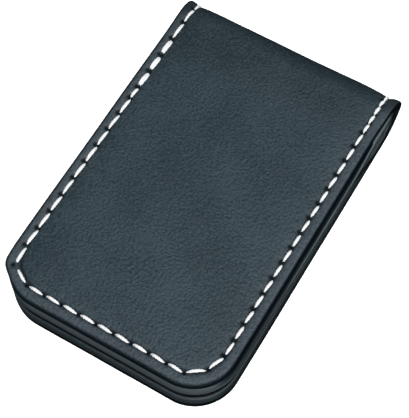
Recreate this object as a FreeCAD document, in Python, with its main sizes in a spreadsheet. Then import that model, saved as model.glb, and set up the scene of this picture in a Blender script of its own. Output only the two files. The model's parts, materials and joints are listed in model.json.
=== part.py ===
"""A folding leather money clip, held shut by magnets, in millimetres.

The clip lies on its back flap. X runs across it, the fold is at +Y, the free ends are at -Y and Z is up.
Each flap is a stack of three plies: outer leather, a middle ply with windows for two magnets, and lining.
Near the fold the middle ply is skived away, so only the outer leather and the lining go round the fold,
and they leave a loop inside for the folded edge of the banknotes.

The front flap is the back flap turned half a turn about the clip's long axis. The fold is three links,
hinged to the flaps and to each other where the outer leather meets the lining.
"""
import FreeCAD, Part
import math
import os

import Sketcher

DIMENSIONS = {
    "width": 45.0,
    "length": 69.7,
    "outer_ply": 1.7,
    "core_ply": 2.2,
    "lining_ply": 1.6,
    "flap_gap": 0.2,
    "corner_radius": 8.5,
    "rim_radius": 1.6,
    "skive_start": 18.0,
    "skive_length": 7.5,
    "skive_edge": 0.3,
    "fold_play": 0.1,
    "lining_play": 0.03,
    "row_side_margin": 2.3,
    "row_end_margin": 2.4,
    "row_corner_cut": 3.2,
    "groove_width": 0.9,
    "groove_depth": 0.4,
    "thread_radius": 0.38,
    "left_pitch": 3.88,
    "right_pitch": 3.33,
    "end_pitch": 3.5,
    "stitch_share": 0.8,
    "stitch_taper_share": 0.35,
    "stitch_end_share": 0.5,
    "magnet_diameter": 15.0,
    "magnet_thickness": 2.0,
    "magnet_play": 0.1,
    "magnet_spacing": 19.0,
    "magnet_from_end": 18.0,
}
FOLD_LINKS = 3
LINK_ANGLE = 180.0 / (FOLD_LINKS + 1)
HALF_ANGLE = LINK_ANGLE / 2
HINGE_LIFT = math.radians(HALF_ANGLE) / math.sin(math.radians(HALF_ANGLE))
CUT_CORNER_SHIFT = math.tan(math.radians(22.5))
TOLERANCE = 1e-4
X_AXIS = FreeCAD.Vector(1, 0, 0)
Y_AXIS = FreeCAD.Vector(0, 1, 0)
Z_AXIS = FreeCAD.Vector(0, 0, 1)


class Size:
    """A number worked out from the sheet: the expression to bind, and what it comes to."""

    def __init__(self, text, value):
        self.text = text
        self.value = value

    def __add__(self, other):
        return combine(self, "+", other, self.value + as_size(other).value)

    def __sub__(self, other):
        return combine(self, "-", other, self.value - as_size(other).value)

    def __mul__(self, other):
        return combine(self, "*", other, self.value * as_size(other).value)

    def __truediv__(self, other):
        return combine(self, "/", other, self.value / as_size(other).value)

    def __neg__(self):
        return self * -1


def as_size(number):
    return number if isinstance(number, Size) else Size(str(number), float(number))


def combine(first, sign, second, value):
    return Size(f"({first.text} {sign} {as_size(second).text})", value)


def sine(degrees):
    return math.sin(math.radians(degrees))


def cosine(degrees):
    return math.cos(math.radians(degrees))


# The document and its sheet of driving dimensions

doc = FreeCAD.newDocument("money_clip")
sheet = doc.addObject("Spreadsheet::Sheet", "Sizes")
sizes = {}
for row, (alias, number) in enumerate(DIMENSIONS.items(), start=1):
    sheet.set(f"A{row}", alias)
    sheet.set(f"B{row}", str(number))
    sheet.setAlias(f"B{row}", alias)
    sizes[alias] = Size(f"Sizes.{alias}", number)
doc.recompute()

# What follows from them

half_width = sizes["width"] / 2
half_length = sizes["length"] / 2
core_top = sizes["outer_ply"] + sizes["core_ply"]
flap_thickness = core_top + sizes["lining_ply"]
height = flap_thickness * 2 + sizes["flap_gap"]
fold_radius = height / 2
ply_radius = fold_radius - sizes["outer_ply"]
loop_radius = ply_radius - sizes["lining_ply"]
fold_y = half_length - fold_radius
hinge_radius = ply_radius * HINGE_LIFT
link_half_width = hinge_radius * sine(HALF_ANGLE) - sizes["fold_play"]
skive_from = half_length - sizes["skive_start"]
skive_to = skive_from + sizes["skive_length"]
lining_thin_top = sizes["outer_ply"] + sizes["lining_ply"]
row_x = half_width - sizes["row_side_margin"]
row_y = sizes["row_end_margin"] - half_length
half_groove = sizes["groove_width"] / 2


# Drawing tools

def new_body(label):
    body = doc.addObject("PartDesign::Body", label)
    body.Label = label
    return body


def bind(target, prop, size):
    target.setExpression(prop, as_size(size).text)


def place(target, base=(0, 0, 0), rotation=None):
    """Put a sub-part at base, whose three coordinates stay bound to the sheet."""
    numbers = [as_size(coordinate).value for coordinate in base]
    target.Placement = FreeCAD.Placement(FreeCAD.Vector(*numbers), rotation or FreeCAD.Rotation())
    for name, coordinate in zip("xyz", base):
        bind(target, f"Placement.Base.{name}", coordinate)


def constrain(sketch, kind, places, size):
    index = sketch.addConstraint(Sketcher.Constraint(kind, *places, as_size(size).value))
    bind(sketch, f"Constraints[{index}]", size)


def start_sketch(body, name, plane, lift=0):
    """A sketch on one of the body's origin planes, or lifted off it along the plane's normal."""
    sketch = body.newObject("Sketcher::SketchObject", name)
    role = f"{plane}_Plane"
    sketch.AttachmentSupport = [(part, "") for part in body.Origin.OriginFeatures if part.Role == role]
    sketch.MapMode = "FlatFace"
    bind(sketch, "AttachmentOffset.Base.z", lift)
    return sketch


def arc_between(centre, start, end):
    """The short arc about centre from start to end, and the point numbers of start and end on it."""
    begin = math.atan2(start.y - centre.y, start.x - centre.x)
    finish = math.atan2(end.y - centre.y, end.x - centre.x)
    circle = Part.Circle(centre, Z_AXIS, (start - centre).Length)
    if (finish - begin) % (2 * math.pi) < math.pi:
        return Part.ArcOfCircle(circle, begin, finish), 1, 2
    return Part.ArcOfCircle(circle, finish, begin), 2, 1


def draw_outline(sketch, corners, arcs=None):
    """Draw a closed outline. A corner is (u, v), or (u, v, "u") where only u is held and an arc settles v.

    arcs maps the number of a side to its (centre u, centre v, radius); the other sides are straight.
    """
    arcs = arcs or {}
    points = [FreeCAD.Vector(as_size(c[0]).value, as_size(c[1]).value, 0) for c in corners]
    first = sketch.GeometryCount
    ends = []
    for side, start in enumerate(points):
        end = points[(side + 1) % len(points)]
        if side in arcs:
            centre_u, centre_v, radius = (as_size(part) for part in arcs[side])
            centre = FreeCAD.Vector(centre_u.value, centre_v.value, 0)
            edge, start_number, end_number = arc_between(centre, start, end)
        else:
            edge, start_number, end_number = Part.LineSegment(start, end), 1, 2
        sketch.addGeometry(edge)
        ends.append((start_number, end_number))
    for side in range(len(points)):
        following = (side + 1) % len(points)
        joint = (first + side, ends[side][1], first + following, ends[following][0])
        sketch.addConstraint(Sketcher.Constraint("Coincident", *joint))
    for side, (centre_u, centre_v, radius) in arcs.items():
        constrain(sketch, "DistanceX", (first + side, 3), centre_u)
        constrain(sketch, "DistanceY", (first + side, 3), centre_v)
        constrain(sketch, "Radius", (first + side,), radius)
    for side, corner in enumerate(corners):
        held = corner[2] if len(corner) > 2 else "uv"
        spot = (first + side, ends[side][0])
        if "u" in held:
            constrain(sketch, "DistanceX", spot, corner[0])
        if "v" in held:
            constrain(sketch, "DistanceY", spot, corner[1])


def draw_circle(sketch, centre_u, centre_v, radius):
    centre = FreeCAD.Vector(centre_u.value, centre_v.value, 0)
    index = sketch.addGeometry(Part.Circle(centre, Z_AXIS, radius.value))
    constrain(sketch, "DistanceX", (index, 3), centre_u)
    constrain(sketch, "DistanceY", (index, 3), centre_v)
    constrain(sketch, "Radius", (index,), radius)


def pad_across(body, sketch):
    """Extrude a side profile over the clip's whole width."""
    pad = body.newObject("PartDesign::Pad", f"{body.Label}_pad")
    pad.Profile = sketch
    pad.SideType = "Symmetric"
    bind(pad, "Length", sizes["width"])
    doc.recompute()
    return pad


def cut(body, name, sketch, depth, upwards):
    """Pocket a sketch and make sure that it takes something away."""
    before = body.Shape.Volume
    pocket = body.newObject("PartDesign::Pocket", name)
    pocket.Profile = sketch
    pocket.Reversed = upwards
    bind(pocket, "Length", depth)
    doc.recompute()
    if body.Shape.Volume > before - TOLERANCE:
        raise RuntimeError(f"{name} cuts nothing")
    return pocket


def fillet(body, name, radius, wanted):
    """Round the edges of the body's tip for which wanted(edge) holds."""
    tip = body.Tip
    names = [f"Edge{n}" for n, edge in enumerate(tip.Shape.Edges, start=1) if wanted(edge)]
    rounding = body.newObject("PartDesign::Fillet", name)
    rounding.Base = (tip, names)
    bind(rounding, "Radius", radius)
    doc.recompute()
    return rounding


def middle(edge):
    return edge.valueAt((edge.FirstParameter + edge.LastParameter) / 2)


def is_free_corner(edge):
    """An upright edge at the free end."""
    box = edge.BoundBox
    upright = box.XLength < TOLERANCE and box.YLength < TOLERANCE
    return upright and abs(middle(edge).y + half_length.value) < TOLERANCE


def is_outer_rim(edge):
    """An edge of the outer face that isn't a seam or end lying across the clip near the fold."""
    point = middle(edge)
    beyond_fold = point.y - fold_y.value
    across = edge.BoundBox.XLength > sizes["width"].value / 2 and beyond_fold > -TOLERANCE
    if beyond_fold > TOLERANCE:
        outside = math.hypot(beyond_fold, point.z - fold_radius.value) > fold_radius.value - TOLERANCE
    else:
        outside = edge.BoundBox.ZMax < TOLERANCE
    return outside and not across


def is_link_rim(edge):
    """An end edge of a fold link's outer face: an arc of the outer radius."""
    point = middle(edge)
    off_surface = abs(math.hypot(point.y, point.z) - fold_radius.value)
    return off_surface < TOLERANCE and edge.BoundBox.XLength < TOLERANCE


# The two flaps. Each sub-part is drawn as it lies in the back flap.

def place_flap(target, turned):
    if turned:
        place(target, (0, 0, height), FreeCAD.Rotation(Y_AXIS, 180))
    else:
        place(target)


def row_edge(offset, far_end):
    """Right half of the stitch row's line, moved outwards by offset, from far_end to the free end."""
    corner_shift = offset * CUT_CORNER_SHIFT
    straight_end = row_y + sizes["row_corner_cut"] - corner_shift
    cut_end = row_x - sizes["row_corner_cut"] + corner_shift
    return [(row_x + offset, far_end), (row_x + offset, straight_end), (cut_end, row_y - offset)]


def other_side(points):
    return [(-u, v) for u, v in points]


def draw_row_groove(sketch, far_end):
    """The U-shaped stitch groove: down one side, across the free end and up the other side."""
    outer = row_edge(half_groove, far_end)
    inner = row_edge(-half_groove, far_end)
    draw_outline(sketch, outer + other_side(outer[::-1]) + other_side(inner) + inner[::-1])


def draw_side_grooves(sketch, low_y, high_y):
    """Two straight stretches of the stitch groove, one at each side."""
    for side in (-1, 1):
        near = (row_x - half_groove) * side
        far = (row_x + half_groove) * side
        draw_outline(sketch, [(near, low_y), (far, low_y), (far, high_y), (near, high_y)])


def make_outer_cover(label, turned):
    """Outer leather of one flap, rounded at its rim, with the groove that the stitches lie in."""
    body = new_body(label)
    profile = start_sketch(body, f"{label}_profile", "YZ")
    cut_y = fold_y + link_half_width
    outer_v = fold_radius.value - math.sqrt(fold_radius.value**2 - link_half_width.value**2)
    inner_v = fold_radius.value - math.sqrt(ply_radius.value**2 - link_half_width.value**2)
    corners = [
        (-half_length, 0),
        (fold_y, 0, "u"),
        (cut_y, outer_v, "u"),
        (cut_y, inner_v, "u"),
        (fold_y, sizes["outer_ply"], "u"),
        (-half_length, sizes["outer_ply"]),
    ]
    arcs = {1: (fold_y, fold_radius, fold_radius), 3: (fold_y, fold_radius, ply_radius)}
    draw_outline(profile, corners, arcs)
    pad_across(body, profile)
    fillet(body, f"{label}_corners", sizes["corner_radius"], is_free_corner)
    fillet(body, f"{label}_rim", sizes["rim_radius"], is_outer_rim)
    groove = start_sketch(body, f"{label}_row", "XY")
    draw_row_groove(groove, half_length)
    cut(body, f"{label}_groove", groove, sizes["groove_depth"], upwards=True)
    place_flap(body, turned)
    return body


def magnet_centres():
    y = sizes["magnet_from_end"] - half_length
    return [(-sizes["magnet_spacing"] / 2, y), (sizes["magnet_spacing"] / 2, y)]


def make_core_ply(label, turned):
    """Middle ply, skived down towards the fold, with a round window for each magnet."""
    body = new_body(label)
    profile = start_sketch(body, f"{label}_profile", "YZ")
    thin_share = (sizes["core_ply"] - sizes["skive_edge"]) / sizes["core_ply"]
    thin_y = skive_from + sizes["skive_length"] * thin_share
    corners = [
        (-half_length, sizes["outer_ply"]),
        (thin_y, sizes["outer_ply"]),
        (thin_y, sizes["outer_ply"] + sizes["skive_edge"]),
        (skive_from, core_top),
        (-half_length, core_top),
    ]
    draw_outline(profile, corners)
    pad_across(body, profile)
    fillet(body, f"{label}_corners", sizes["corner_radius"], is_free_corner)
    windows = start_sketch(body, f"{label}_windows", "XY")
    for centre_x, centre_y in magnet_centres():
        draw_circle(windows, centre_x, centre_y, sizes["magnet_diameter"] / 2 + sizes["magnet_play"])
    cut(body, f"{label}_magnet_windows", windows, core_top * 2, upwards=True)
    place_flap(body, turned)
    return body


def make_lining(label, turned):
    """Lining of one flap: flat over the middle ply, down its skived end, and into the fold."""
    body = new_body(label)
    profile = start_sketch(body, f"{label}_profile", "YZ")
    reach = HALF_ANGLE - math.degrees(sizes["lining_play"].value / ply_radius.value)
    corners = [
        (-half_length, core_top),
        (skive_from, core_top),
        (skive_to, sizes["outer_ply"]),
        (fold_y, sizes["outer_ply"], "u"),
        (fold_y + ply_radius * sine(reach), fold_radius.value - ply_radius.value * cosine(reach), "u"),
        (fold_y + loop_radius * sine(reach), fold_radius.value - loop_radius.value * cosine(reach), "u"),
        (fold_y, lining_thin_top, "u"),
        (skive_to, lining_thin_top),
        (skive_from, flap_thickness),
        (-half_length, flap_thickness),
    ]
    arcs = {3: (fold_y, fold_radius, ply_radius), 5: (fold_y, fold_radius, loop_radius)}
    draw_outline(profile, corners, arcs)
    pad_across(body, profile)
    fillet(body, f"{label}_corners", sizes["corner_radius"], is_free_corner)
    groove = start_sketch(body, f"{label}_row", "XY", flap_thickness)
    draw_row_groove(groove, skive_from)
    cut(body, f"{label}_groove", groove, sizes["groove_depth"], upwards=False)
    thin_groove = start_sketch(body, f"{label}_thin_rows", "XY", lining_thin_top)
    draw_side_grooves(thin_groove, skive_to, fold_y)
    cut(body, f"{label}_thin_groove", thin_groove, sizes["groove_depth"], upwards=False)
    place_flap(body, turned)
    return body


def make_magnet(label, centre, turned):
    """A disc magnet in its window, against the outer leather."""
    disc = doc.addObject("Part::Cylinder", label)
    disc.Label = label
    bind(disc, "Radius", sizes["magnet_diameter"] / 2)
    bind(disc, "Height", sizes["magnet_thickness"])
    centre_x, centre_y = centre
    if turned:
        base_z = height - sizes["outer_ply"] - sizes["magnet_thickness"]
    else:
        base_z = sizes["outer_ply"]
    place(disc, (centre_x, centre_y, base_z))
    return disc


# The fold links. Each is drawn below the fold's axis and then turned about it.

def place_link(target, number):
    place(target, (0, fold_y, fold_radius), FreeCAD.Rotation(X_AXIS, LINK_ANGLE * number))


def make_outer_fold(label, number):
    """Outer leather on one link. Its flat sides close on the next link's when the clip lies open."""
    body = new_body(label)
    profile = start_sketch(body, f"{label}_profile", "YZ")
    outer_v = -math.sqrt(fold_radius.value**2 - link_half_width.value**2)
    inner_v = -math.sqrt(ply_radius.value**2 - link_half_width.value**2)
    corners = [
        (-link_half_width, outer_v, "u"),
        (link_half_width, outer_v, "u"),
        (link_half_width, inner_v, "u"),
        (-link_half_width, inner_v, "u"),
    ]
    draw_outline(profile, corners, {0: (0, 0, fold_radius), 2: (0, 0, ply_radius)})
    pad_across(body, profile)
    fillet(body, f"{label}_rim", sizes["rim_radius"], is_link_rim)
    groove = start_sketch(body, f"{label}_rows", "XY", sizes["groove_depth"] - fold_radius)
    draw_side_grooves(groove, -fold_radius, fold_radius)
    cut(body, f"{label}_groove", groove, fold_radius, upwards=False)
    place_link(body, number)
    return body


def make_lining_fold(label, number):
    """Lining on one link: a wedge whose sides part when the clip opens."""
    body = new_body(label)
    profile = start_sketch(body, f"{label}_profile", "YZ")
    reach = HALF_ANGLE - math.degrees(sizes["lining_play"].value / ply_radius.value)
    corners = [
        (-ply_radius * sine(reach), -ply_radius.value * cosine(reach), "u"),
        (ply_radius * sine(reach), -ply_radius.value * cosine(reach), "u"),
        (loop_radius * sine(reach), -loop_radius.value * cosine(reach), "u"),
        (-loop_radius * sine(reach), -loop_radius.value * cosine(reach), "u"),
    ]
    draw_outline(profile, corners, {0: (0, 0, ply_radius), 2: (0, 0, loop_radius)})
    pad_across(body, profile)
    groove = start_sketch(body, f"{label}_rows", "XY", -loop_radius - sizes["groove_depth"])
    draw_side_grooves(groove, -fold_radius, fold_radius)
    cut(body, f"{label}_groove", groove, fold_radius, upwards=True)
    place_link(body, number)
    return body


# The thread. A stitch is half a round bar with tapered ends, lying on its flat side.

def stitch(length, centre, along, outward):
    """One stitch of the given length, with its flat side at centre and its round side facing outward."""
    radius = sizes["thread_radius"].value
    end_radius = radius * sizes["stitch_end_share"].value
    taper = length * sizes["stitch_taper_share"].value
    outline = [
        (-length / 2, 0),
        (-length / 2, end_radius),
        (taper - length / 2, radius),
        (length / 2 - taper, radius),
        (length / 2, end_radius),
        (length / 2, 0),
    ]
    profile = Part.makePolygon([FreeCAD.Vector(x, -y, 0) for x, y in outline + outline[:1]])
    spindle = Part.Face(profile).revolve(FreeCAD.Vector(), X_AXIS, -180)
    turn = FreeCAD.Rotation(along, outward.cross(along), outward, "XZY")
    spindle.Placement = FreeCAD.Placement(centre, turn)
    return spindle


def stitch_line(start, end, pitch, outward):
    """Stitches spread evenly from start to end, at about the given pitch."""
    run = end - start
    count = max(1, round(run.Length / pitch))
    step = run / count
    along = FreeCAD.Vector(run).normalize()
    length = step.Length * sizes["stitch_share"].value
    return [stitch(length, start + step * (number + 0.5), along, outward) for number in range(count)]


def row_stitches(far_y, face_z, outward, side_pitches):
    """The row round a flap's flat part: down one side, across both cut corners, and up the other side."""
    cut_off = sizes["row_corner_cut"].value
    stitches = []
    for side, pitch in side_pitches.items():
        far = FreeCAD.Vector(side * row_x.value, far_y.value, face_z)
        near = FreeCAD.Vector(side * row_x.value, row_y.value + cut_off, face_z)
        corner = FreeCAD.Vector(side * (row_x.value - cut_off), row_y.value, face_z)
        stitches += stitch_line(far, near, pitch, outward)
        stitches += stitch_line(near, corner, cut_off * 2, outward)
    opposite = FreeCAD.Vector(-corner.x, corner.y, corner.z)
    stitches += stitch_line(opposite, corner, sizes["end_pitch"].value, outward)
    return stitches


def pitches(turned):
    """Stitch pitch of each side row, by the sign of x in the back flap's frame."""
    left = -1 if not turned else 1
    return {left: sizes["left_pitch"].value, -left: sizes["right_pitch"].value}


def make_thread(label, stitches):
    thread = doc.addObject("Part::Feature", label)
    thread.Label = label
    thread.Shape = Part.makeCompound(stitches)
    return thread


def make_outer_row(label, turned):
    """Top thread of one flap, sunk in the outer leather's groove."""
    base = sizes["groove_depth"].value
    thread = make_thread(label, row_stitches(fold_y, base, -Z_AXIS, pitches(turned)))
    place_flap(thread, turned)
    return thread


def make_inner_row(label, turned):
    """Bobbin thread of one flap: sunk in the lining's grooves, and lying on the slope between them."""
    groove_floor = (flap_thickness - sizes["groove_depth"]).value
    stitches = row_stitches(skive_from, groove_floor, Z_AXIS, pitches(turned))
    for side, pitch in pitches(turned).items():
        x = side * row_x.value
        slope_top = FreeCAD.Vector(x, skive_from.value, flap_thickness.value)
        slope_foot = FreeCAD.Vector(x, skive_to.value, lining_thin_top.value)
        thin_floor = (lining_thin_top - sizes["groove_depth"]).value
        thin_start = FreeCAD.Vector(x, skive_to.value, thin_floor)
        fold_start = FreeCAD.Vector(x, fold_y.value, thin_floor)
        down = FreeCAD.Vector(slope_foot - slope_top).normalize()
        stitches += stitch_line(slope_top, slope_foot, pitch, X_AXIS.cross(down))
        stitches += stitch_line(thin_start, fold_start, pitch, Z_AXIS)
    thread = make_thread(label, stitches)
    place_flap(thread, turned)
    return thread


def make_fold_stitches(label, number):
    """Where the rows cross one link: two stitches outside, two short ones inside the loop."""
    share = sizes["stitch_share"].value
    outer_floor = sizes["groove_depth"].value - fold_radius.value
    inner_floor = -sizes["groove_depth"].value - loop_radius.value
    inner_length = 2 * loop_radius.value * sine(HALF_ANGLE) * share
    stitches = []
    for x in (-row_x.value, row_x.value):
        outer_spot = FreeCAD.Vector(x, 0, outer_floor)
        inner_spot = FreeCAD.Vector(x, 0, inner_floor)
        stitches.append(stitch(2 * link_half_width.value * share, outer_spot, Y_AXIS, -Z_AXIS))
        stitches.append(stitch(inner_length, inner_spot, Y_AXIS, Z_AXIS))
    thread = make_thread(label, stitches)
    place_link(thread, number)
    return thread


# The whole clip

sub_parts = []
for flap, is_turned in (("back", False), ("front", True)):
    sub_parts.append(make_outer_cover(f"outer_cover_{flap}", is_turned))
    sub_parts.append(make_core_ply(f"core_ply_{flap}", is_turned))
    sub_parts.append(make_lining(f"lining_{flap}", is_turned))
    for hand, spot in zip(("left", "right"), magnet_centres()):
        sub_parts.append(make_magnet(f"magnet_{flap}_{hand}", spot, is_turned))
    sub_parts.append(make_outer_row(f"stitching_outer_{flap}", is_turned))
    sub_parts.append(make_inner_row(f"stitching_inner_{flap}", is_turned))
for link in range(1, FOLD_LINKS + 1):
    sub_parts.append(make_outer_fold(f"outer_fold_{link}", link))
    sub_parts.append(make_lining_fold(f"lining_fold_{link}", link))
    sub_parts.append(make_fold_stitches(f"stitching_fold_{link}", link))
doc.recompute()

for item in doc.Objects:
    if "Invalid" in item.State or "Error" in item.State:
        raise RuntimeError(f"{item.Label} is {item.State}")
for sub_part in sub_parts:
    if sub_part.Shape.isNull() or not sub_part.Shape.isValid():
        raise RuntimeError(f"{sub_part.Label} has no valid shape")

os.makedirs("parts", exist_ok=True)
for sub_part in sub_parts:
    sub_part.Shape.exportStep(f"parts/{sub_part.Label}.step")

print(f"height {height.value:.3f}, fold axis y {fold_y.value:.3f} z {fold_radius.value:.3f}")
for number in range(FOLD_LINKS + 1):
    angle = LINK_ANGLE * number + HALF_ANGLE
    hinge_y = fold_y.value + hinge_radius.value * sine(angle)
    hinge_z = fold_radius.value - hinge_radius.value * cosine(angle)
    print(f"hinge {number + 1}: y {hinge_y:.4f} z {hinge_z:.4f}")
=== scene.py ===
"""The looks of a leather magnetic money clip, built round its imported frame.

A strip of leather is folded over into two thick flaps. Lengths in this script are in millimetres and are
turned into metres when a mesh is made. Most shapes are drawn on the unrolled strip:

    x      across the clip
    s      along the strip: negative on the front flap, 0 to BEND round the fold, more on the back flap
    depth  below the outer face, towards the inside of the clip
"""

import json
import math
import random

import bmesh
import bpy
import numpy as np
from mathutils import Matrix, Vector


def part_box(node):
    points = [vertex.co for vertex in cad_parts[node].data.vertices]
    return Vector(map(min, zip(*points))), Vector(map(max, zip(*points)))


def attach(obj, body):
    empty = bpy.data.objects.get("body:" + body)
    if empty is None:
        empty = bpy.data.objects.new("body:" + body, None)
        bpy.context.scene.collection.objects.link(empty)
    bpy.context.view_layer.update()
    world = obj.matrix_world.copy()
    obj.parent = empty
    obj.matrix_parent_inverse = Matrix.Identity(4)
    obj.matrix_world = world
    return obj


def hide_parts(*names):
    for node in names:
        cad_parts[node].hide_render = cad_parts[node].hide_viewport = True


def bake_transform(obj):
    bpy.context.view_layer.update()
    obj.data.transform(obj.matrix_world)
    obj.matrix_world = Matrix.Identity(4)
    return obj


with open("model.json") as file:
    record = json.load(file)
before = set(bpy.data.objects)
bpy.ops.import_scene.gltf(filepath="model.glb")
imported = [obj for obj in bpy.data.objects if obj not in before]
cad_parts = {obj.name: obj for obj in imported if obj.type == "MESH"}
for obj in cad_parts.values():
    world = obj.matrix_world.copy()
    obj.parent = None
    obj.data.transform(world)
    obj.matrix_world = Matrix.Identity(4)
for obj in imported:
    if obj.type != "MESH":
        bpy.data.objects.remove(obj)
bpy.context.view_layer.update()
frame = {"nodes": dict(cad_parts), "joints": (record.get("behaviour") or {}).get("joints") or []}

MM = 0.001


# ---------------------------------------------------------------- sizes, most read from the frame
def low(node):
    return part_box(node)[0] / MM


def high(node):
    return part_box(node)[1] / MM


def points_of(node):
    return np.array([v.co for v in frame["nodes"][node].data.vertices]) / MM


def near_level(values, level):
    return np.abs(values - level) < 0.01


HALF_WIDTH = high("outer_cover_front").x
FREE_END = low("outer_cover_front").y
TOP = high("outer_cover_front").z
OUTER_PLY = TOP - high("core_ply_front").z
CORE_PLY = high("core_ply_front").z - low("core_ply_front").z
LINING_PLY = low("core_ply_front").z - low("lining_front").z
CLOSING_FACE = TOP - low("lining_front").z
THIN_DEPTH = OUTER_PLY + LINING_PLY

hinges = [Vector(joint["pos_m"]) / MM for joint in frame["joints"]]
LINK_ANGLE = math.pi / len(hinges)
HINGE_RADIUS = (hinges[1] - hinges[0]).length / (2 * math.sin(LINK_ANGLE / 2))
FOLD_Y = hinges[0].y - HINGE_RADIUS * math.sin(LINK_ANGLE / 2)
FOLD_Z = sum(h.z for h in hinges) / len(hinges)
FOLD_RADIUS = TOP - FOLD_Z
BEND = math.pi * FOLD_RADIUS
LINK_LENGTH = BEND / len(hinges)
PLY_RADIUS = FOLD_RADIUS - OUTER_PLY
LOOP_RADIUS = PLY_RADIUS - LINING_PLY

core_points = points_of("core_ply_front")
core_side = core_points[near_level(core_points[:, 0], HALF_WIDTH)]
CORNER = core_side[:, 1].min() - FREE_END
lining_points = points_of("lining_front")
on_closing_face = near_level(lining_points[:, 2], TOP - CLOSING_FACE)
on_thin_part = near_level(lining_points[:, 2], TOP - THIN_DEPTH)
SLOPE_START = lining_points[on_closing_face, 1].max() - FOLD_Y
SLOPE_END = lining_points[on_thin_part, 1].min() - FOLD_Y

LEFT_ROW, RIGHT_ROW, END_ROW = 2.1, 2.4, 2.47        # stitch rows to the edge of the leather
THREAD_RADIUS = 0.30

LINKS = len(hinges) - 1

random.seed(7)


# ---------------------------------------------------------------- the strip and the frame
def to_frame(x, s, depth):
    """Points on the unrolled strip, as points of the frame in metres."""
    x, s, depth = np.broadcast_arrays(x, s, depth)
    turn = np.clip(s, 0, BEND) / FOLD_RADIUS
    radius = FOLD_RADIUS - depth
    y = FOLD_Y + radius * np.sin(turn) + np.minimum(s, 0) - np.maximum(s - BEND, 0)
    z = FOLD_Z + radius * np.cos(turn)
    return np.stack([x, y, z], -1) * MM


def smooth(t):
    t = np.clip(t, 0, 1)
    return t * t * (3 - 2 * t)


def bell(t):
    return np.exp(-t * t)


def waves(a, b, seed, length):
    """Slow, smooth irregularity, mostly between -1 and 1, the same in every run."""
    spin = np.random.default_rng(seed)
    total = 0
    for _ in range(6):
        heading = spin.uniform(0, 2 * math.pi)
        turns = 2 * math.pi / (length * spin.uniform(0.7, 1.6))
        phase = spin.uniform(0, 6.28)
        total = total + np.sin(turns * (a * math.cos(heading) + b * math.sin(heading)) + phase)
    return total / 4


def inset_of(x, s):
    """Distance in from the edge of the leather, for points of a flap with s below 0."""
    side = HALF_WIDTH - np.abs(x)
    end = s + FOLD_Y - FREE_END
    in_corner = (side < CORNER) & (end < CORNER)
    corner = CORNER - np.hypot(CORNER - side, CORNER - end)
    return np.where(in_corner, corner, np.minimum(side, end))


def towards_right(x):
    """0 at the left side of the clip to 1 at the right."""
    return smooth(0.5 + 0.5 * x / HALF_WIDTH)


def on_left(x):
    """1 along the left border, 0 elsewhere."""
    return smooth((-x - 15) / 5)


def at_free_end(s, start=54):
    """1 along the free end of a flap, 0 elsewhere."""
    return smooth((-s - start) / 6)


def into_fold(s):
    """0 on the front flap to 1 from the middle of the fold on."""
    return smooth((s + 3) / (0.4 * BEND))


# ---------------------------------------------------------------- stitch rows
def walk(start, steps):
    """Positions reached from start by a run of steps."""
    return list(np.cumsum([start] + list(steps)))


def side_holes(x, run):
    return [(x, s) for s in run]


LEFT_X = LEFT_ROW - HALF_WIDTH
RIGHT_X = HALF_WIDTH - RIGHT_ROW
ROW_END = FREE_END - FOLD_Y + END_ROW
LEFT_PITCH, END_PITCH, RIGHT_PITCH, OVERSTITCH = 3.86, 3.52, 3.33, 2.15
BACK_PITCH, BACK_END_PITCH = 3.62, 3.2

# Needle holes of the front flap, from the left side of the fold round the free end to the right side of it.
# The left run begins with a plain stitch, three doubled ones and a short one.
left_run = walk(-1.45, [-4.15, -4.25, -4.05, -4.05, -2.6] + [-LEFT_PITCH] * 10)
left_holes = side_holes(LEFT_X, left_run[:-1]) + [(LEFT_X + 0.45, left_run[-1] - 0.45)]
end_holes = [(x, ROW_END) for x in walk(-16.05, [END_PITCH] * 9)]
corner_hole = (18.75, -59.1)
right_run = walk(-55.6, [RIGHT_PITCH] * 15)
right_holes = side_holes(RIGHT_X, right_run)
over_run = walk(right_run[-1], [OVERSTITCH] * 4)
over_holes = side_holes(RIGHT_X, over_run)
front_holes = left_holes + end_holes + [corner_hole] + right_holes
left_bend_holes = side_holes(LEFT_X, walk(left_run[0], [4.35] + [3.95] * 4))
right_bend_holes = side_holes(RIGHT_X, walk(over_run[-1], [3.9] * 4))

back_run = walk(-0.9, [-BACK_PITCH] * 15)
back_holes = (side_holes(LEFT_X, back_run) + [(x, ROW_END) for x in walk(-16.0, [BACK_END_PITCH] * 10)]
              + [(18.7, -59.1)] + side_holes(RIGHT_X, back_run[::-1]))

# The thread lies to the right in the holes of the side rows, so their hollows show on its left.
HOLLOW_SHIFT = 0.42
side_rows = left_holes + right_holes + left_bend_holes + right_bend_holes
front_hollows = [(x - HOLLOW_SHIFT, s) for x, s in side_rows] + end_holes + [corner_hole] + over_holes


def dimples(x, s, holes, radius, deep):
    """How much the needle holes pull the leather down."""
    total = np.zeros(np.broadcast(x, s).shape)
    for hole_x, hole_s in holes:
        total = np.maximum(total, deep * bell(np.hypot(x - hole_x, s - hole_s) / radius))
    return total


# ---------------------------------------------------------------- the plies
GROOVE_SHADE, GROOVE_SHIFT = 0.62, 0.12              # painted shade in the stitch groove: how dark, and its place off the row
GROOVE_WIDTH, BORDER_WIDTH = 0.42, 0.72              # its width towards the panel and towards the border
# radius of the painted shade round a needle hole
HOLLOW_SHADE_RADIUS = 0.55
CREASE_SHADE, BORDER_CREASE_SHADE = 0.3, 0.45        # painted shade on the panel and on the borders at the fold
CUT_WIDTH, LEFT_CUT_WIDTH = 0.5, 0.9                 # width of the painted shade along a cut edge


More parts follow.
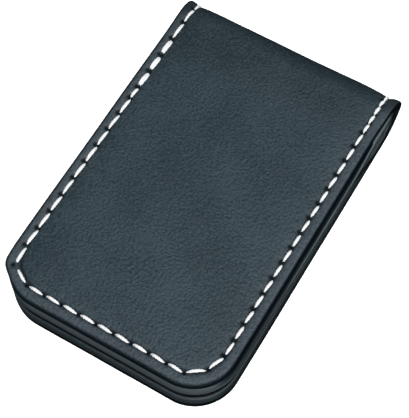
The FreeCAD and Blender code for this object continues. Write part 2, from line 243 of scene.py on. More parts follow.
class Ply:
    """One layer of leather: where its two faces lie, and how its edges are rounded.

    near is the face towards the outside of the clip and far the face towards the inside. Each is a function
    of x, s and the inset from the edge. near_edge and far_edge are the radii of their rounding, and trim is
    how far the edge lies inside the nominal outline. holes are the needle holes of the face that shows, and
    edge_shade is how much painted shade darkens the cut edge. near_edge and edge_shade are functions of x and
    s.
    """

    def __init__(self, near, far, near_edge, far_edge, trim, holes, edge_shade, sewn_inside=False):
        self.near, self.far = near, far
        self.near_edge, self.far_edge = near_edge, far_edge
        self.trim = trim
        self.holes = holes
        self.edge_shade = edge_shade
        self.sewn_inside = sewn_inside

    def painted_shade(self, x, s, inset):
        """Painted shade at a point, 0 to 1, in the stitch groove and needle holes, at the fold and on the cut
        edge.
        """
        off = off_row(x, s, inset) - GROOVE_SHIFT
        # painted shade in the stitch groove, wider on the border side
        border_width = BORDER_WIDTH + (GROOVE_WIDTH - BORDER_WIDTH) * on_left(x)
        groove = GROOVE_SHADE * bell(off / np.where(off < 0, border_width, GROOVE_WIDTH))
        # painted shade in the needle holes
        shade = np.maximum(groove, dimples(x, s, self.holes, HOLLOW_SHADE_RADIUS, 1.0))
        # painted shade on the panel and the borders near the fold
        fold_painted_shade = np.where(off > 0, CREASE_SHADE * smooth((s + 14) / 10),
                           BORDER_CREASE_SHADE * smooth((s + 3) / 4))
        shade = np.maximum(shade, fold_painted_shade) * smooth(inset / CUT_WIDTH)
        # painted shade along the cut edge
        cut_width = CUT_WIDTH + (LEFT_CUT_WIDTH - CUT_WIDTH) * on_left(x)
        return np.maximum(shade, self.edge_shade(x, s) * (1 - smooth(inset / cut_width)))


def rounding(inset, radius):
    """Drop of a face towards its rounded edge."""
    t = np.clip(1 - inset / radius, 0, 1)
    return radius * (1 - np.sqrt(1 - t * t))


def off_row(x, s, inset):
    """Distance from the stitch row, positive towards the panel."""
    side_row = LEFT_ROW + (RIGHT_ROW - LEFT_ROW) * towards_right(x)
    return inset - side_row - (END_ROW - side_row) * at_free_end(s, 53)


def row_valley(off, deep):
    """The stitch row pulls the leather in, and on the panel side part of its pull reaches further."""
    panel_side = 0.62 * bell(off / 0.42) + 0.38 * bell(off / 1.5)
    return deep * np.where(off < 0, bell(off / 0.5), panel_side)


BORDER_DROP, SWELL_WIDTH = 0.12, 6                   # the panel rises by this much over this width
OUTER_VALLEY, LINING_VALLEY = 0.40, 0.36             # depth of the stitch groove
HOLE_RADIUS, OUTER_HOLE, LINING_HOLE = 0.5, 0.36, 0.25
OUTER_UNEVEN, LINING_UNEVEN = 0.05, 0.03
FOLD_SAG, FOLD_EASE = 0.24, 0.12                     # in its middle, and where each flap turns into the fold
FLARE_UP, FLARE_OUT = 0.28, 0.25                     # the fold's ends stand out by this much


def fold_dip(x, s):
    """The unsupported middle of the fold sags in between the two stitched sides."""
    across = np.clip(1 - ((x + 2) / 21.5) ** 2, 0, 1)
    sag = FOLD_SAG * across * bell((s - 0.5 * BEND) / (0.3 * BEND))
    return sag + FOLD_EASE * bell((s - 0.4) / 5) + FOLD_EASE * bell((s - BEND + 0.4) / 5)


def at_flare(s):
    """1 where the fold is stretched most and its side edges stand out, 0 on the flaps."""
    return bell((s - 0.36 * BEND) / (0.2 * BEND))


def outer_face(holes, seed, flare=0):
    def face(x, s, inset):
        off = off_row(x, s, inset)
        depth = BORDER_DROP * (1 - smooth(off / SWELL_WIDTH))
        depth = depth + row_valley(off, OUTER_VALLEY) + dimples(x, s, holes, HOLE_RADIUS, OUTER_HOLE)
        depth = depth + OUTER_UNEVEN * waves(x, s, seed, 22) * smooth(inset / 3) + OUTER_UNEVEN
        depth = depth - flare * at_flare(s) * (1 - 0.6 * smooth((inset - 0.3) / 2.4))
        return depth + fold_dip(x, s)
    return face


def outer_back(x, s, inset):
    return OUTER_PLY + fold_dip(x, s) + 0 * inset


SLOPE_SHIFTS = (-0.8, -0.4, 0, 0.4, 0.8)             # the mean of slopes shifted by these has rounded ends


def glued_depth(s):
    """Depth of the lining's glued face: below the middle ply, then up a slope to the outer leather."""
    ramp = [np.interp(s + shift, [SLOPE_START, SLOPE_END], [CLOSING_FACE - LINING_PLY, OUTER_PLY])
            for shift in SLOPE_SHIFTS]
    return sum(ramp) / len(ramp)


def lining_glued(x, s, inset):
    return glued_depth(s) + fold_dip(x, s) + 0 * inset


def lining_open(holes, seed):
    def face(x, s, inset):
        depth = glued_depth(s) + LINING_PLY - LINING_UNEVEN
        depth = depth - row_valley(off_row(x, s, inset), LINING_VALLEY)
        depth = depth - dimples(x, s, holes, HOLE_RADIUS, LINING_HOLE)
        return depth + fold_dip(x, s) - LINING_UNEVEN * (1 + waves(x, s, seed, 18))
    return face


TRIM, TRIM_WAVE = 0.08, 0.03
RIGHT_TRIM, BACK_RIGHT_TRIM = 0.09, -0.08            # added towards the right side
PEAK, PEAK_RADIUS, PEAK_X, PEAK_S = 0.55, 1.9, -21.6, -59.6
LINING_TRIM, LINING_WAVE, LINING_PROUD = 0.06, 0.05, 0.16
RECESS, BACK_RECESS = 0.06, 0.34


def outer_trim(flare, right):
    """The outer leather is cut a little inside its outline, but its left corner is less round than the
    right one and comes to a peak. flare is how far the fold's ends stand out."""
    def trim(x, s):
        cut = TRIM + right * towards_right(x) + TRIM_WAVE * waves(x, s, 3, 16)
        cut = cut - PEAK * bell(np.hypot(x - PEAK_X, s - PEAK_S) / PEAK_RADIUS)
        return smooth(-s / 5) * cut - flare * at_flare(s)
    return trim


def lining_trim(recess):
    """The lining lies inside its outline by recess where the middle ply is over it, and less on the right."""
    def trim(x, s):
        thick = (glued_depth(s) - OUTER_PLY) / CORE_PLY
        proud = LINING_PROUD * smooth((s + 46) / 14) * smooth((0.5 * BEND - s) / 4) * towards_right(x)
        return LINING_TRIM + recess * thick - proud + LINING_WAVE * smooth(-s / 5) * waves(x, s, 5, 14)
    return trim


RIM, LEFT_RIM, BACK_RIM = 0.8, 0.65, 0.45            # rounding of the outer leather's edge
OUTER_GLUED_RIM, LINING_GLUED_RIM, LINING_RIM = 0.4, 0.3, 0.5
SIDE_SHADE, END_SHADE, BACK_SHADE = 0.93, 0.60, 0.92     # painted shade on the outer leather's cut edge
LINING_END_SHADE, LINING_BACK_SHADE = 0.35, 0.85         # painted shade on the lining's cut edge


def steady(value):
    return lambda x, s: value + 0 * s


def front_rim(x, s):
    """The rounding is smaller on the left, and turns into the back flap's round the fold."""
    start = RIM + (LEFT_RIM - RIM) * on_left(x)
    return start + (BACK_RIM - start) * into_fold(s)


def front_cut_shade(x, s):
    """Painted shade on the cut edge of the front's outer leather, less on its free end than its sides and the
    fold.
    """
    return SIDE_SHADE + (END_SHADE - SIDE_SHADE) * at_free_end(s) + 0 * x


def lining_cut_shade(x, s):
    """Painted shade on the cut edge of the front's lining, darkest inside the fold."""
    return LINING_END_SHADE * at_free_end(s) + LINING_BACK_SHADE * into_fold(s) + 0 * x


# Insets from the edge of the rings of a face, which are close together over the rounded edge and the groove.
RIM_INSETS = [round(RIM * (1 - math.cos(math.radians(a))), 4) for a in range(0, 91, 9)]
BORDER_INSETS = [0.95, 1.1, 1.25, 1.4, 1.55, 1.7, 1.85, 2.0, 2.15, 2.3, 2.42, 2.54, 2.66, 2.8, 2.95, 3.15,
                 3.4]
PANEL_INSETS = [3.8, 4.4, 5.2, 6.2, 7.3]
FACE_INSETS = sorted(set(RIM_INSETS + BORDER_INSETS + PANEL_INSETS))
GLUED_INSETS = [0, 0.03, 0.1, 0.2, 0.33, 0.5, 0.8, 1.3, 2.3, 4, 6]


# ---------------------------------------------------------------- mesh making
STATION_STEP = 0.45                                  # between stations along an edge
SEAM_STEP = 0.02                                     # first step from a seam, so that the shading runs on
BEND_STEPS = 18                                      # stations round one link
TRIM_FADE = 6                                        # how far in from the edge its trim is felt
WELD_METRES = 1e-7


def grid_faces(first, rows, columns, closed=False):
    """Quads between rows of points numbered from first. closed joins the end of each row to its start."""
    quads = []
    for row in range(rows - 1):
        for column in range(columns if closed else columns - 1):
            a = first + row * columns + column
            b = first + row * columns + (column + 1) % columns
            quads.append((a, b, b + columns, a + columns))
    return quads


def make_piece(name, strip, faces, inset=None, painted_shade=None):
    """A closed mesh from strip points. Each point keeps its place on the strip, its inset and its painted
    shade, for the materials. Only the ends, which have more than four corners, are flat-shaded."""
    strip = np.asarray(strip, float)
    mesh = bpy.data.meshes.new(name)
    bm = bmesh.new()
    place = bm.verts.layers.float_vector.new("strip")
    edge = bm.verts.layers.float.new("inset")
    dark = bm.verts.layers.float.new("painted_shade")
    verts = []
    for i, point in enumerate(to_frame(strip[:, 0], strip[:, 1], strip[:, 2])):
        v = bm.verts.new(point)
        v[place] = strip[i]
        v[edge] = 0 if inset is None else inset[i]
        v[dark] = 0 if painted_shade is None else painted_shade[i]
        verts.append(v)
    for corners in faces:
        bm.faces.new([verts[i] for i in corners])
    bmesh.ops.remove_doubles(bm, verts=bm.verts, dist=WELD_METRES)
    bmesh.ops.recalc_face_normals(bm, faces=bm.faces)
    for face in bm.faces:
        face.smooth = len(face.verts) <= 4
    bm.to_mesh(mesh)
    bm.free()
    piece = bpy.data.objects.new(name, mesh)
    bpy.context.scene.collection.objects.link(piece)
    return piece


def stations_between(start, end, span):
    return np.linspace(start, end, round(span / STATION_STEP) + 1)


def outline():
    """Stations round a flap's edge from the left of the fold to the right of it: points and inward normals.
    Also the places of the stations down its side and across its end."""
    side = stations_between(0, FREE_END + CORNER - FOLD_Y, FOLD_Y - FREE_END - CORNER)
    side = np.insert(side, 1, -SEAM_STEP)
    end = stations_between(-HALF_WIDTH + CORNER, HALF_WIDTH - CORNER, 2 * (HALF_WIDTH - CORNER))
    bend = stations_between(0, math.pi / 2, CORNER * 1.2)[1:-1]
    end_s = FREE_END - FOLD_Y
    left = [((-HALF_WIDTH, s), (1, 0)) for s in side]
    corner = [((-HALF_WIDTH + CORNER - CORNER * math.cos(a), end_s + CORNER - CORNER * math.sin(a)),
               (math.cos(a), math.sin(a))) for a in bend]
    bottom = [((x, end_s), (0, 1)) for x in end]
    mirrored = [((-p[0], p[1]), (-n[0], n[1])) for p, n in reversed(left + corner)]
    stations = left + corner + bottom + mirrored
    return np.array([p for p, _ in stations]), np.array([n for _, n in stations]), side, end


def ply_rings(ply):
    """The section's levels, from the middle of the near face over the edge to the middle of the far face."""
    near = [("near", d) for d in [CORNER] + FACE_INSETS[::-1]]
    far = [("far", d) for d in (FACE_INSETS if ply.sewn_inside else GLUED_INSETS) + [CORNER]]
    return near + far


def section_depth(ply, face, x, s, inset):
    if face == "near":
        return ply.near(x, s, inset) + rounding(inset, ply.near_edge(x, s))
    return ply.far(x, s, inset) - rounding(inset, ply.far_edge)


def felt(inset):
    """The share of the edge's trim that is felt this far in."""
    return np.clip(1 - inset / TRIM_FADE, 0, 1)


def make_plate(name, ply, back=False):
    """The ply of one flap, closed at the fold by a flat end. back mirrors it to the back flap."""
    points, normals, side, end = outline()
    count = len(points)
    strip, insets = [], []
    rings = ply_rings(ply)
    trim = ply.trim(points[:, 0], points[:, 1])
    for face, d in rings:
        p = points + normals * (d + trim * felt(d))[:, None]
        inset = np.full(count, float(d))
        depth = section_depth(ply, face, p[:, 0], p[:, 1], inset)
        strip += list(np.stack([p[:, 0], p[:, 1], depth], 1))
        insets += list(inset)
    faces = grid_faces(0, len(rings), count)
    grid_x, grid_s = np.meshgrid(end, side)
    rows, columns = grid_x.shape
    inner_ends = {}
    for face in ("near", "far"):
        inset = np.maximum(inset_of(grid_x, grid_s), CORNER)
        depth = section_depth(ply, face, grid_x, grid_s, inset)
        first = len(strip)
        strip += list(np.stack([grid_x, grid_s, depth], -1).reshape(-1, 3))
        insets += list(inset.ravel())
        faces += grid_faces(first, rows, columns)
        inner_ends[face] = [first + column for column in range(columns)]
    left_end = [k * count for k in range(len(rings))]
    right_end = [k * count + count - 1 for k in range(len(rings))]
    faces.append(tuple(left_end[:-1] + inner_ends["far"]
                       + right_end[::-1][1:] + inner_ends["near"][::-1][:-1]))
    strip = np.array(strip)
    painted_shade = ply.painted_shade(strip[:, 0], strip[:, 1], np.array(insets))
    if back:
        strip[:, 1] = BEND - strip[:, 1]
    return make_piece(name, strip, faces, insets, painted_shade)


def section_stations(ply):
    """The ply's closed outline across the clip at the fold: each station's face, place across and inset."""
    columns = list(outline()[3][1:-1])
    left = [(face, d - HALF_WIDTH, d) for face, d in ply_rings(ply)]
    right = [(face, -x, d) for face, x, d in reversed(left)]
    stations = (left + [("far", x, CORNER) for x in columns]
                + right + [("near", x, CORNER) for x in reversed(columns)])
    return (np.array([face == "near" for face, _, _ in stations]), np.array([x for _, x, _ in stations]),
            np.array([float(d) for _, _, d in stations]))


def make_bend(name, ply, start, end):
    """One link's length of the ply round the fold."""
    is_near, x, inset = section_stations(ply)
    count = len(x)
    along = np.linspace(start, end, BEND_STEPS + 1)
    along = np.concatenate([[start, start + SEAM_STEP], along[1:-1], [end - SEAM_STEP, end]])
    x, s = np.meshgrid(x, along)
    x = x - np.sign(x) * ply.trim(x, s) * felt(inset)
    depth = np.where(is_near, section_depth(ply, "near", x, s, inset),
                     section_depth(ply, "far", x, s, inset))
    strip = np.stack([x, s, depth], -1).reshape(-1, 3)
    insets = np.tile(inset, len(along))
    faces = grid_faces(0, len(along), count, closed=True)
    faces += [tuple(range(first, first + count)) for first in (0, len(strip) - count)]
    painted_shade = ply.painted_shade(strip[:, 0], strip[:, 1], insets)
    return make_piece(name, strip, faces, insets, painted_shade)


OUTER_SPAN = PLY_RADIUS * math.sin(LINK_ANGLE / 2)
LINING_SPAN = LOOP_RADIUS * math.sin(LINK_ANGLE / 2)


def bend_over(piece):
    """Bakes a piece's placement into its mesh; it is not blended over a hinge. Link 0 is next to the back
    flap.
    """
    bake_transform(piece)


# ---------------------------------------------------------------- thread
STITCH_STEPS = 27
TUBE_SIDES = 15
STRANDS, LOBE = 3, 0.12                              # the thread's strands, and how far they stand out of it
STRAND_TWIST = 3.9                                   # radians per millimetre
FLATTENED = 0.92                                     # its height as a share of its width
LEAN, LEAN_UNEVEN = 0.15, 0.05                       # how far a stitch's ends lie off the row
BEDDED = 0.34                                        # how deep the thread's middle lies in the leather
END_SHARE = 0.16                                     # girth at a stitch's ends, as a share of its middle's


class Thread:
    """Stitches gathered by where they lie: on the front flap, on one of the links, or on the back flap."""

    def __init__(self):
        self.zones = {}

    def add_tube(self, x, s, depth, wide, tall, twist):
        """A tube of the given half width and half height along points on the strip, split at the hinges."""
        cuts = [LINK_LENGTH * k for k in range(len(hinges) + 1)]
        path = np.stack([x, s, depth, wide, tall, twist], 1)
        out = [path[0]]
        for a, b in zip(path[:-1], path[1:]):
            for cut in (cuts if b[1] > a[1] else cuts[::-1]):
                if (a[1] - cut) * (b[1] - cut) < 0:
                    out.append(a + (b - a) * ((cut - a[1]) / (b[1] - a[1])))
            out.append(b)
        out = np.array(out)
        zone = np.clip(np.floor((out[:-1, 1] + out[1:, 1]) / 2 / LINK_LENGTH), -1, len(hinges))
        begin = 0
        for i in range(1, len(zone) + 1):
            if i == len(zone) or zone[i] != zone[begin]:
                self._mesh(int(zone[begin]), out[begin:i + 1])
                begin = i

    def _mesh(self, zone, path):
        strip, faces = self.zones.setdefault(zone, ([], []))
        first = len(strip)
        heading = np.gradient(path[:, :2], axis=0)
        heading /= np.linalg.norm(heading, axis=1)[:, None]
        for (x, s, depth, wide, tall, twist), (hx, hs) in zip(path, heading):
            for k in range(TUBE_SIDES):
                a = 2 * math.pi * k / TUBE_SIDES
                lobe = 1 + LOBE * math.cos(STRANDS * (a - twist))
                across, up = wide * lobe * math.cos(a), tall * lobe * math.sin(a)
                strip.append((x - hs * across, s + hx * across, depth - up))
        faces += grid_faces(first, len(path), TUBE_SIDES, closed=True)
        faces += [tuple(range(ring, ring + TUBE_SIDES)) for ring in (first, len(strip) - TUBE_SIDES)]

    def add_stitch(self, start, end, face, girth=1.0, sideways=0.0, away=1, dive=0.95):
        """One stitch from hole to hole. face is the depth of the leather there, and away is 1 where the
        thread stands out of the outer face and -1 where it stands out of the inner one. dive is how much
        deeper its ends go."""
        (x0, s0), (x1, s1) = start, end
        length = math.hypot(x1 - x0, s1 - s0)
        t = np.linspace(0, 1, STITCH_STEPS)
        bulge = np.abs(2 * t - 1)
        hs, hx = (s1 - s0) / length, (x1 - x0) / length
        lean = LEAN + LEAN_UNEVEN * random.uniform(-1, 1)
        side = sideways + lean * (1 - 2 * t)
        x = x0 + (x1 - x0) * t - hs * side
        s = s0 + (s1 - s0) * t + hx * side
        radius = THREAD_RADIUS * girth * (END_SHARE + (1 - END_SHARE) * (1 - bulge ** 2.1) ** 0.75)
        depth = face + away * (BEDDED + dive * bulge ** 3)
        twist = t * length * STRAND_TWIST + random.uniform(0, 6.28)
        self.add_tube(x, s, depth, radius, radius * FLATTENED, twist)


HOLLOW_FACE = 0.02                                   # how deep in the groove the face of a single stitch lies


def placed(hole, back):
    x, s = hole
    return (x, BEND - s) if back else (x, s)


top_thread, inner_thread = Thread(), Thread()


def sew(holes, face=HOLLOW_FACE, back=False, girth=1.0, dive=0.95):
    """Stitches between neighbouring holes of one run. back mirrors them to the back flap."""
    for a, b in zip(holes[:-1], holes[1:]):
        uneven = random.uniform(0.95, 1.05)
        top_thread.add_stitch(placed(a, back), placed(b, back), face, girth=girth * uneven, dive=dive)


sew(left_holes[:2], girth=1.1, dive=0.7)
for a, b in zip(left_holes[1:4], left_holes[2:5]):
    for sideways in (0.2, -0.18):
        top_thread.add_stitch(a, b, 0, sideways=sideways, girth=0.95)
sew(left_holes[4:], girth=1.08, dive=0.7)
sew([left_holes[-1]] + end_holes)
sew([end_holes[-1], corner_hole] + right_holes)
sew(over_holes, face=0, girth=1.05, dive=0.6)
sew(left_bend_holes)
sew(right_bend_holes)
sew(back_holes, back=True)


def sew_inside(holes, back=False):
    """The bobbin side of the row, on the closing faces and inside the fold."""
    for a, b in zip(holes[:-1], holes[1:]):
        s = a[1] + (b[1] - a[1]) * np.linspace(0, 1, STITCH_STEPS)
        face = glued_depth(s) + LINING_PLY - HOLLOW_FACE
        inner_thread.add_stitch(placed(a, back), placed(b, back), face, away=-1, girth=0.92)


sew_inside(left_holes)
sew_inside([left_holes[-1]] + end_holes)
sew_inside([end_holes[-1], corner_hole] + right_holes)
sew_inside([right_holes[-1]] + over_holes[2::2])
sew_inside(left_bend_holes)
sew_inside(right_bend_holes)
sew_inside(back_holes, back=True)


# ---------------------------------------------------------------- materials
def new_material(name):
    material = bpy.data.materials.new(name)
    material.use_nodes = True
    nodes, links = material.node_tree.nodes, material.node_tree.links
    shader = nodes["Principled BSDF"]
    return material, nodes, links, shader


def add(nodes, kind, **settings):
    node = nodes.new(kind)
    for key, value in settings.items():
        if key.startswith("in_"):
            node.inputs[key[3:].replace("_", " ")].default_value = value
        else:
            setattr(node, key, value)
    return node


def feed(links, value, target):
    """Links an output to the socket target, or sets target to a plain value."""
    if hasattr(value, "links"):
        links.new(value, target)
    else:
        target.default_value = value


def mix_colour(nodes, links, factor, a, b, blend="MIX"):
    node = nodes.new("ShaderNodeMix")
    node.data_type, node.blend_type = "RGBA", blend
    for socket, value in (("Factor_Float", factor), ("A_Color", a), ("B_Color", b)):
        feed(links, value, next(i for i in node.inputs if i.identifier == socket))
    return next(o for o in node.outputs if o.identifier == "Result_Color")


def ramp_between(nodes, links, source, low_at, high_at, low_value=0.0, high_value=1.0):
    node = nodes.new("ShaderNodeMapRange")
    node.interpolation_type = "SMOOTHSTEP"
    node.inputs["From Min"].default_value, node.inputs["From Max"].default_value = low_at, high_at
    node.inputs["To Min"].default_value, node.inputs["To Max"].default_value = low_value, high_value
    links.new(source, node.inputs["Value"])
    return node.outputs["Result"]


def math_node(nodes, links, operation, a, b=None):
    node = nodes.new("ShaderNodeMath")
    node.operation = operation
    for i, value in enumerate((a, b)):
        if value is not None:
            feed(links, value, node.inputs[i])
    return node.outputs[0]


# painted highlights for the border and the cut edge, and the colour of painted shade
BORDER_PAINTED_HIGHLIGHT = (0.034, 0.033, 0.036, 1)
CUT_PAINTED_HIGHLIGHT = (0.080, 0.096, 0.105, 1)
DEEP_SHADE = (0.002, 0.004, 0.0055, 1)
GLUE_AND_SHADE_LINES = [(TOP - OUTER_PLY, 0.26), (OUTER_PLY, 0.6)]     # height and half width of dark bands: the glue joint and painted shade where the plies meet
PEBBLE, FINE_GRAIN, CLOUD, GRAIN_HEIGHT = 0.52, 0.42, 13, 0.13
FINE_SHARE = 0.65                                    # of the mottling; the clouds make up the rest
BORDER_START, BORDER_END = (0.15, 0.5), (1.5, 2.1)   # insets between which a painted highlight makes the border paler
CUT_FADE = (0.05, 0.30)                              # insets over which a cut edge's painted highlight fades out
MOTTLE_RANGE = (0.38, 0.62)
BETWEEN_FLAPS = (5, 6.5)                             # heights over which the painted light and the gloss turn into the front flap's
# The middle plies' cut edges get painted shade towards the fold and on the right, and a painted highlight on
# the front flap.
CORE_PAINTED_LIGHT = [("Y", -28, -12, (0.007, 0.010, 0.012, 1)), ("Z", *BETWEEN_FLAPS, (0.092, 0.120, 0.134, 1)),
              ("X", 20.5, 22.3, (0.016, 0.023, 0.027, 1))]
CORE_RIM = 0.45


def leather(name, dark, light, roughness, shine, grain, coordinates, edge_light=0.0, edge_highlight=0.0):
    """Full-grain leather: a pebbled bump, fine mottling and slow clouds, a painted highlight on the border,
    and painted shade in the stitch grooves, needle holes, fold and cut edges. A middle ply, which has object
    coordinates, shows only its cut edge, with painted light and shade by place and dark bands along its glue
    lines, a dark glue joint with painted shade. edge_light is how strong the border's painted highlight is,
    and edge_highlight how much painted highlight the cut edge gets."""
    material, nodes, links, shader = new_material(name)
    if coordinates == "strip":
        place = add(nodes, "ShaderNodeAttribute", attribute_name="strip").outputs["Vector"]
        scale = 1.0
    else:
        place = add(nodes, "ShaderNodeTexCoord").outputs["Object"]
        scale = 1 / MM

    def noise(size):
        node = add(nodes, "ShaderNodeTexNoise", in_Scale=scale / size, in_Detail=3, in_Roughness=0.55)
        links.new(place, node.inputs["Vector"])
        return node.outputs["Fac"]

    cells = add(nodes, "ShaderNodeTexVoronoi", feature="SMOOTH_F1", in_Scale=scale / PEBBLE,
                in_Smoothness=0.5)
    links.new(place, cells.inputs["Vector"])
    fine, clouds = noise(FINE_GRAIN), noise(CLOUD)
    mottle = math_node(nodes, links, "ADD", math_node(nodes, links, "MULTIPLY", fine, FINE_SHARE),
                       math_node(nodes, links, "MULTIPLY", clouds, 1 - FINE_SHARE))
    colour = mix_colour(nodes, links, ramp_between(nodes, links, mottle, *MOTTLE_RANGE), dark, light)
    if coordinates == "strip":
        inset = add(nodes, "ShaderNodeAttribute", attribute_name="inset").outputs["Fac"]
        groove = add(nodes, "ShaderNodeAttribute", attribute_name="painted_shade").outputs["Fac"]
        # painted highlight on the border
        border = math_node(nodes, links, "MULTIPLY", ramp_between(nodes, links, inset, *BORDER_START),
                           ramp_between(nodes, links, inset, *BORDER_END, 1, 0))
        colour = mix_colour(nodes, links, math_node(nodes, links, "MULTIPLY", border, edge_light), colour,
                            BORDER_PAINTED_HIGHLIGHT, "ADD")
        # painted highlight on the cut edge
        cut = ramp_between(nodes, links, inset, *CUT_FADE, edge_highlight, 0)
        colour = mix_colour(nodes, links, cut, colour, CUT_PAINTED_HIGHLIGHT, "ADD")
        # painted shade in the stitch grooves, needle holes, at the fold and along the cut edges, with less
        # gloss there
        colour = mix_colour(nodes, links, ramp_between(nodes, links, groove, 0.05, 0.9), colour, DEEP_SHADE)
        gloss = ramp_between(nodes, links, groove, 0.3, 0.9, shine, 0.15 * shine)
    else:
        axes = nodes.new("ShaderNodeSeparateXYZ")
        links.new(place, axes.inputs["Vector"])
        lower, upper = BETWEEN_FLAPS
        gloss = ramp_between(nodes, links, axes.outputs["Z"], lower * MM, upper * MM, 0.3 * shine, shine)
        # painted light on the middle plies' cut edges: shade towards the fold and on the right, a highlight
        # on the front flap
        for axis, start, end, tone in CORE_PAINTED_LIGHT:
            strength = ramp_between(nodes, links, axes.outputs[axis], start * MM, end * MM)
            colour = mix_colour(nodes, links, strength, colour, tone)
        # dark bands along the glue lines, partly the dark glue joint and partly painted shade, with less
        # gloss
        for line, width in GLUE_AND_SHADE_LINES:
            off_line = math_node(nodes, links, "ABSOLUTE",
                                 math_node(nodes, links, "SUBTRACT", axes.outputs["Z"], line * MM))
            off_line = ramp_between(nodes, links, off_line, 0.3 * width * MM, width * MM)
            colour = mix_colour(nodes, links, off_line, DEEP_SHADE, colour)
            gloss = math_node(nodes, links, "MULTIPLY", gloss, off_line)
    links.new(colour, shader.inputs["Base Color"])
    links.new(ramp_between(nodes, links, fine, 0.3, 0.7, roughness - 0.06, roughness + 0.08),
              shader.inputs["Roughness"])
    bump = add(nodes, "ShaderNodeBump", in_Strength=grain, in_Distance=GRAIN_HEIGHT * MM)
    links.new(math_node(nodes, links, "ADD", cells.outputs["Distance"], fine), bump.inputs["Height"])
    links.new(bump.outputs["Normal"], shader.inputs["Normal"])
    links.new(gloss, shader.inputs["Specular IOR Level"])
    return material


outer_leather = leather("outer_leather", (0.0118, 0.0226, 0.0292, 1), (0.0262, 0.0418, 0.0512, 1),
                        roughness=0.52, shine=0.22, grain=0.8, coordinates="strip", edge_light=0.35)
lining_leather = leather("lining_leather", (0.012, 0.019, 0.023, 1), (0.020, 0.030, 0.036, 1),
                         roughness=0.50, shine=0.25, grain=0.5, coordinates="strip", edge_light=0.2,
                         edge_highlight=1.0)
core_leather = leather("core_leather", (0.024, 0.034, 0.039, 1), (0.036, 0.048, 0.054, 1),
                       roughness=0.34, shine=0.45, grain=0.12, coordinates="object")


def thread_material():
    material, nodes, links, shader = new_material("waxed_white_thread")
    place = add(nodes, "ShaderNodeAttribute", attribute_name="strip").outputs["Vector"]
    fibre = add(nodes, "ShaderNodeTexNoise", in_Scale=6.0, in_Detail=3.0, in_Roughness=0.6)
    links.new(place, fibre.inputs["Vector"])
    links.new(mix_colour(nodes, links, fibre.outputs["Fac"], (0.56, 0.57, 0.58, 1), (0.76, 0.77, 0.78, 1)),
              shader.inputs["Base Color"])
    bump = add(nodes, "ShaderNodeBump", in_Strength=0.3, in_Distance=0.03 * MM)
    links.new(fibre.outputs["Fac"], bump.inputs["Height"])
    links.new(bump.outputs["Normal"], shader.inputs["Normal"])
    shader.inputs["Roughness"].default_value = 0.55
    shader.inputs["Sheen Weight"].default_value = 0.15
    return material


def magnet_material():
    material, nodes, links, shader = new_material("nickel_plating")
    place = add(nodes, "ShaderNodeTexCoord").outputs["Object"]
    smear = add(nodes, "ShaderNodeTexNoise", in_Scale=400.0, in_Detail=4.0)
    links.new(place, smear.inputs["Vector"])
    links.new(mix_colour(nodes, links, smear.outputs["Fac"], (0.56, 0.55, 0.52, 1), (0.66, 0.65, 0.62, 1)),
              shader.inputs["Base Color"])
    links.new(ramp_between(nodes, links, smear.outputs["Fac"], 0.3, 0.7, 0.18, 0.32),
              shader.inputs["Roughness"])
    shader.inputs["Metallic"].default_value = 1.0
    return material


white_thread = thread_material()
nickel = magnet_material()


def put_on(piece, material):
    piece.data.materials.clear()
    piece.data.materials.append(material)


def finish_piece(piece, material):
    put_on(piece, material)


# ---------------------------------------------------------------- the pieces
outer_front = Ply(outer_face(front_hollows, 11, FLARE_UP), outer_back, front_rim, OUTER_GLUED_RIM,
                  outer_trim(FLARE_OUT, RIGHT_TRIM), front_hollows, front_cut_shade)
outer_rear = Ply(outer_face(back_holes, 12), outer_back, steady(BACK_RIM), OUTER_GLUED_RIM,
                 outer_trim(0, BACK_RIGHT_TRIM), back_holes, steady(BACK_SHADE))
lining_front = Ply(lining_glued, lining_open(front_holes, 13), steady(LINING_GLUED_RIM), LINING_RIM,
                   lining_trim(RECESS), front_holes, lining_cut_shade, True)
lining_rear = Ply(lining_glued, lining_open(back_holes, 14), steady(LINING_GLUED_RIM), LINING_RIM,
                  lining_trim(BACK_RECESS), back_holes, steady(LINING_BACK_SHADE), True)

for kind, side, ply, material, node in (
        ("outer", "front", outer_front, outer_leather, "outer_cover_front"),
        ("outer", "back", outer_rear, outer_leather, "outer_cover_back"),
        ("lining", "front", lining_front, lining_leather, "lining_front"),
        ("lining", "back", lining_rear, lining_leather, "lining_back")):
    body = side + "_flap"
    piece = make_plate(f"{side}_{kind}_leather", ply, side == "back")
    finish_piece(piece, material)
    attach(piece, body)
    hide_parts(node)

for link in range(len(hinges)):
    end = BEND - link * LINK_LENGTH
    start = end - LINK_LENGTH
    for kind, ply, span, material in (("outer", outer_front, OUTER_SPAN, outer_leather),
                                      ("lining", lining_front, LINING_SPAN, lining_leather)):
        piece = make_bend(f"{kind}_bend_{link + 1}", ply, start, end)
        finish_piece(piece, material)
        bend_over(piece)
        if link < LINKS:
            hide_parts(f"{kind}_fold_{link + 1}")

BODY_OF_ZONE = {-1: "front_flap", len(hinges): "back_flap"}
for label, thread, span, node in (("top", top_thread, OUTER_SPAN, "stitching_outer"),
                                  ("inner", inner_thread, LINING_SPAN, "stitching_inner")):
    for zone, (strip, faces) in sorted(thread.zones.items()):
        if zone in BODY_OF_ZONE:
            body = BODY_OF_ZONE[zone]
            side = body.split("_")[0]
            piece = make_piece(f"{side}_{label}_stitching", strip, faces)
            finish_piece(piece, white_thread)
            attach(piece, body)
            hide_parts(f"{node}_{side}")
        else:
            link = LINKS - zone
            piece = make_piece(f"{label}_stitching_bend_{link + 1}", strip, faces)
            finish_piece(piece, white_thread)
            bend_over(piece)
            if label == "top" and link < LINKS:
                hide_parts(f"stitching_fold_{link + 1}")

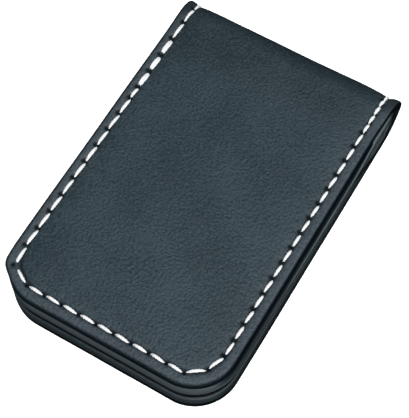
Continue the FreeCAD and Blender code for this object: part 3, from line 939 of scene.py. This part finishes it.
for name, node in frame["nodes"].items():
    if name.startswith("core_ply"):
        put_on(node, core_leather)
        weld = node.modifiers.new("weld", "WELD")
        weld.merge_threshold = 0.002 * MM
        bevel = node.modifiers.new("round_edges", "BEVEL")
        bevel.width, bevel.segments, bevel.limit_method = CORE_RIM * MM, 4, "ANGLE"
        bevel.angle_limit = math.radians(50)
    elif name.startswith("magnet"):
        put_on(node, nickel)


# ---------------------------------------------------------------- stage, light and camera
def make_stage(name, fill, base, glow):
    """A pale piece of the studio that the object isn't lit by. fill makes its shape in a bmesh."""
    mesh = bpy.data.meshes.new(name)
    bm = bmesh.new()
    fill(bm)
    bm.to_mesh(mesh)
    bm.free()
    stage = bpy.data.objects.new(name, mesh)
    bpy.context.scene.collection.objects.link(stage)
    material, nodes, links, shader = new_material(name)
    shader.inputs["Base Color"].default_value = (base, base, base, 1)
    shader.inputs["Roughness"].default_value = 0.9
    shader.inputs["Emission Color"].default_value = (1, 1, 1, 1)
    shader.inputs["Emission Strength"].default_value = glow
    mesh.materials.append(material)
    stage.visible_glossy = False
    stage.visible_diffuse = False
    return stage


def fill_floor(bm):
    bmesh.ops.create_grid(bm, x_segments=1, y_segments=1, size=1.5)


def fill_backdrop(bm):
    bmesh.ops.create_uvsphere(bm, u_segments=48, v_segments=24, radius=4)


def add_softbox(name, position, size, power):
    """A rectangular light that faces the object."""
    data = bpy.data.lights.new(name, "AREA")
    data.shape, data.size, data.size_y, data.energy = "RECTANGLE", size[0], size[1], power
    light = bpy.data.objects.new(name, data)
    bpy.context.scene.collection.objects.link(light)
    light.location = position
    light.rotation_euler = (-Vector(position)).to_track_quat("-Z", "Y").to_euler()


floor = make_stage("studio_floor", fill_floor, 0.9, 0.75)
floor.location.z = -0.0001
backdrop = make_stage("studio_backdrop", fill_backdrop, 0, 1)
backdrop.visible_shadow = False
add_softbox("top_softbox", (0.17, -0.06, 0.48), (0.50, 0.40), 4.1)
add_softbox("right_softbox", (0.42, -0.50, 0.32), (0.30, 0.40), 2.3)


def make_world():
    """A pale studio above, and a dark one below the horizon, so that the edges' undersides stay dark."""
    world = bpy.data.worlds.new("studio")
    world.use_nodes = True
    nodes, links = world.node_tree.nodes, world.node_tree.links
    axes = nodes.new("ShaderNodeSeparateXYZ")
    links.new(add(nodes, "ShaderNodeTexCoord").outputs["Generated"], axes.inputs["Vector"])
    height = ramp_between(nodes, links, axes.outputs["Z"], -0.1, 0.3)
    links.new(mix_colour(nodes, links, height, (0.12, 0.13, 0.14, 1), (0.93, 0.97, 1.0, 1)),
              nodes["Background"].inputs["Color"])
    nodes["Background"].inputs["Strength"].default_value = 0.10
    bpy.context.scene.world = world


make_world()

AZIMUTH, ELEVATION, ROLL = math.radians(32.329), math.radians(63.597), math.radians(1.965)
back_axis = Vector((math.sin(AZIMUTH) * math.cos(ELEVATION), -math.cos(AZIMUTH) * math.cos(ELEVATION),
                    math.sin(ELEVATION)))
right_axis = Vector((math.cos(AZIMUTH), math.sin(AZIMUTH), 0))
up_axis = back_axis.cross(right_axis)
turned_right = right_axis * math.cos(ROLL) - up_axis * math.sin(ROLL)
turned_up = up_axis * math.cos(ROLL) + right_axis * math.sin(ROLL)
camera = bpy.data.objects.new("camera", bpy.data.cameras.new("camera"))
bpy.context.scene.collection.objects.link(camera)
position = Vector((64.719, -101.777, 243.261)) * MM
camera.matrix_world = Matrix.Translation(position) @ Matrix((
    (turned_right.x, turned_up.x, back_axis.x, 0), (turned_right.y, turned_up.y, back_axis.y, 0),
    (turned_right.z, turned_up.z, back_axis.z, 0), (0, 0, 0, 1)))
camera.data.sensor_width = 36
camera.data.lens = 126.2
camera.data.clip_start = 0.01
bpy.context.scene.camera = camera

bpy.context.scene.view_settings.view_transform = "Standard"
